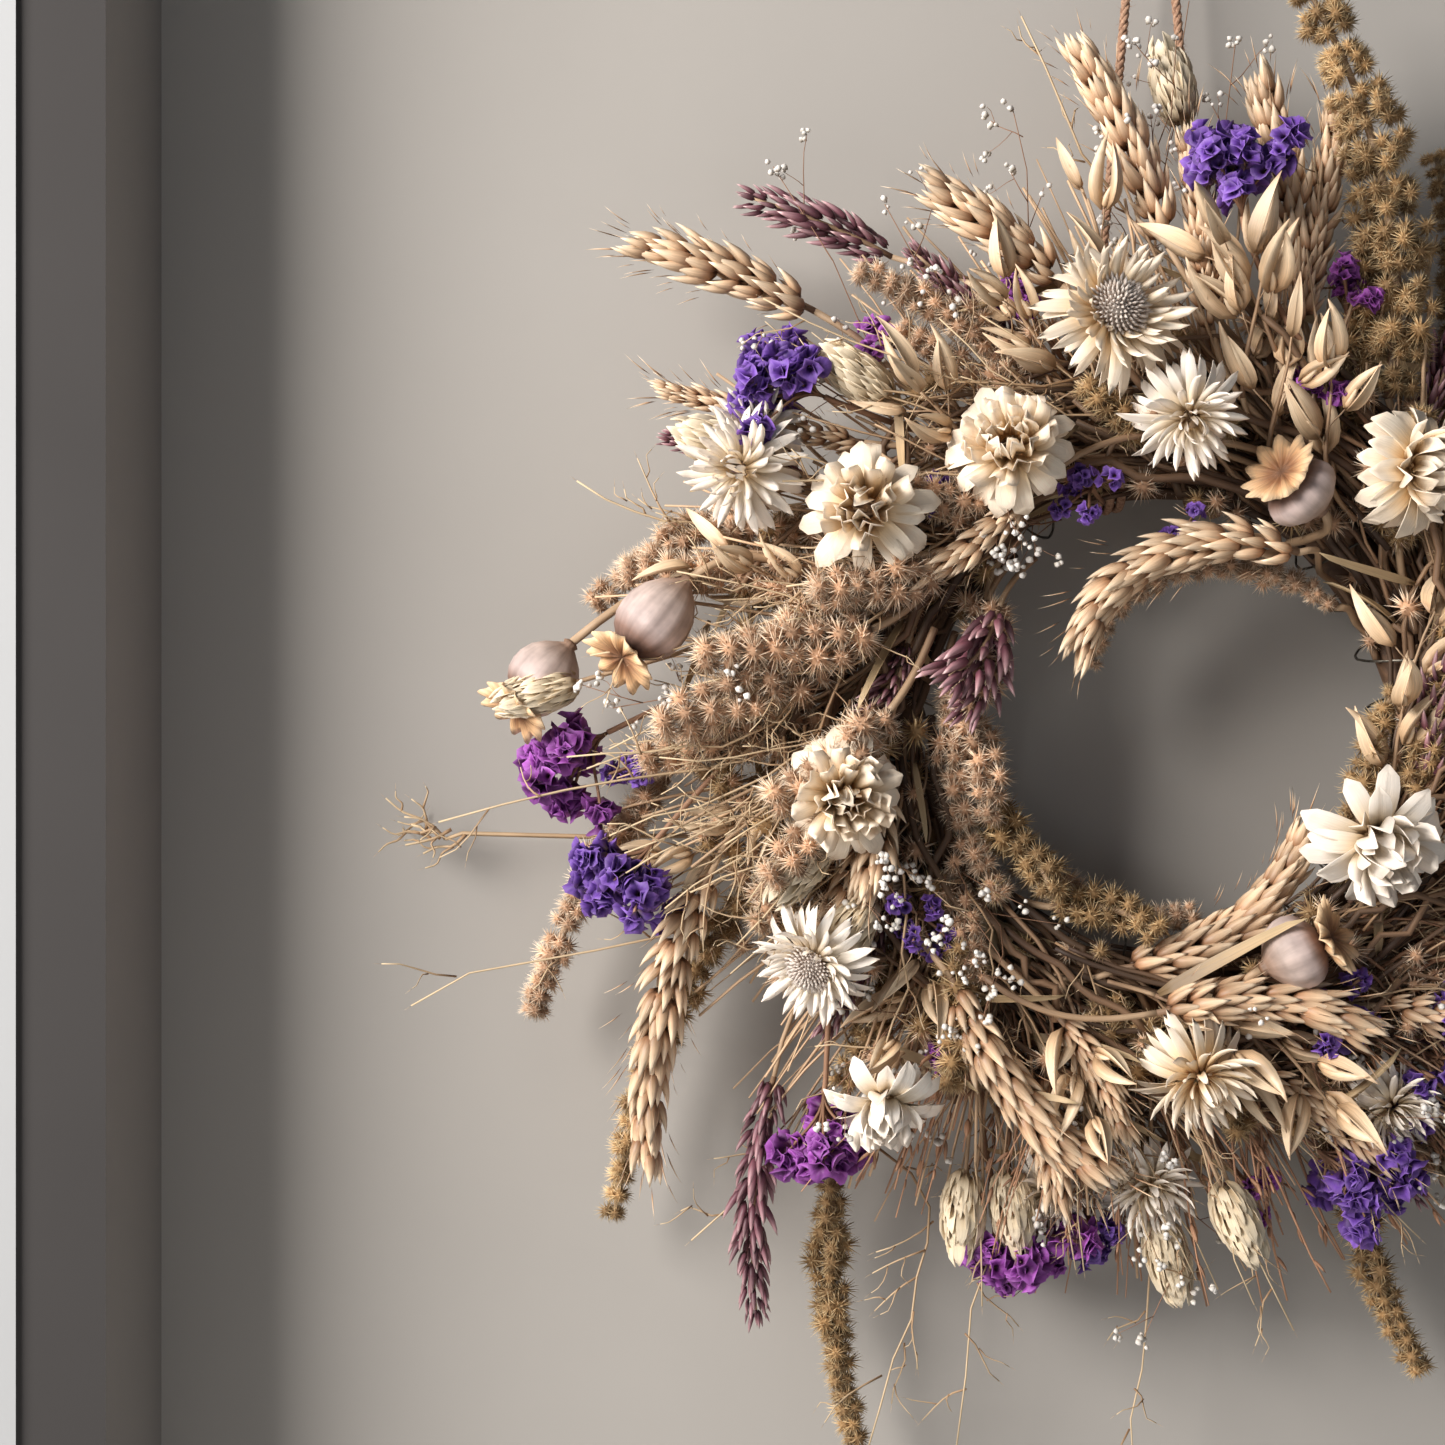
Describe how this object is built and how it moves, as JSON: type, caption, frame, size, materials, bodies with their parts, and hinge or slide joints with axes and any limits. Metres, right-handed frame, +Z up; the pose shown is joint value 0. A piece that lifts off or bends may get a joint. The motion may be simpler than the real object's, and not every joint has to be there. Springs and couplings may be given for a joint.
{
  "type": "door wreath",
  "caption": "Round door wreath of dried wheat, amaranth, strawflowers, statice and poppy heads wired to a twisted willow ring, on a twine hanging loop.",
  "frame": {"origin": "where the top of the twine loop bears on its hook, on the middle of the loop", "axes": "+Z up along the hanging loop, +X to the right seen from the front, the flowers face -Y and the door is on the +Y side"},
  "size_m": [0.4819, 0.0828, 0.585],
  "materials": {
    "amaranth": "dried tan-pink bristles, matt",
    "oat": "pale striped husks, slightly glossy",
    "plum_grass": "dark plum-red dried spikelets",
    "poppy": "dry mauve-brown capsule, smooth and dusty",
    "statice": "papery violet calyces, matt",
    "strawflower": "papery cream bracts with fine streaks",
    "twig": "fine dried twigs",
    "twine": "twisted natural fibre, hairy and matt",
    "wheat": "dry straw-coloured husks, slightly silky",
    "willow": "weathered bark, dry and matt",
    "wire": "dull annealed florist's wire"
  },
  "bodies": {
    "wreath": {"amaranth_plume_01": "amaranth", "amaranth_plume_02": "amaranth", "amaranth_plume_03": "amaranth", "amaranth_plume_04": "amaranth", "amaranth_plume_05": "amaranth", "amaranth_plume_06": "amaranth", "amaranth_plume_07": "amaranth", "amaranth_plume_08": "amaranth", "amaranth_plume_09": "amaranth", "amaranth_plume_10": "amaranth", "amaranth_plume_11": "amaranth", "amaranth_plume_12": "amaranth", "amaranth_plume_13": "amaranth", "binding_wire": "wire", "oat_spray_01": "oat", "plum_grass_01": "plum_grass", "plum_grass_02": "plum_grass", "poppy_head_01": "poppy", "poppy_head_02": "poppy", "poppy_head_03": "poppy", "poppy_head_04": "poppy", "ring_rod_1": "willow", "ring_rod_2": "willow", "ring_rod_3": "willow", "statice_sprig_01": "statice", "statice_sprig_02": "statice", "statice_sprig_03": "statice", "statice_sprig_04": "statice", "statice_sprig_05": "statice", "statice_sprig_06": "statice", "statice_sprig_07": "statice", "statice_sprig_08": "statice", "strawflower_01": "strawflower", "strawflower_02": "strawflower", "strawflower_03": "strawflower", "strawflower_04": "strawflower", "strawflower_05": "strawflower", "strawflower_06": "strawflower", "strawflower_07": "strawflower", "strawflower_08": "strawflower", "strawflower_09": "strawflower", "strawflower_10": "strawflower", "strawflower_11": "strawflower", "strawflower_12": "strawflower", "strawflower_13": "strawflower", "twig_spray_01": "twig", "twine_hitch_left": "twine", "twine_hitch_right": "twine", "wheat_ear_01": "wheat", "wheat_ear_02": "wheat", "wheat_ear_03": "wheat", "wheat_ear_04": "wheat", "wheat_ear_05": "wheat", "wheat_ear_06": "wheat", "wheat_ear_07": "wheat", "wheat_ear_08": "wheat", "wheat_ear_09": "wheat", "wheat_ear_10": "wheat"},
    "hanging_loop": {"hanging_twine": "twine", "twine_knot": "twine"}
  },
  "joints": [
    {"name": "loop_fold", "type": "hinge", "parent": "wreath", "child": "hanging_loop", "pos_m": [0, 0.0076, -0.2285], "axis": [-1, 0, 0], "range_deg": [0, 90]}
  ]
}
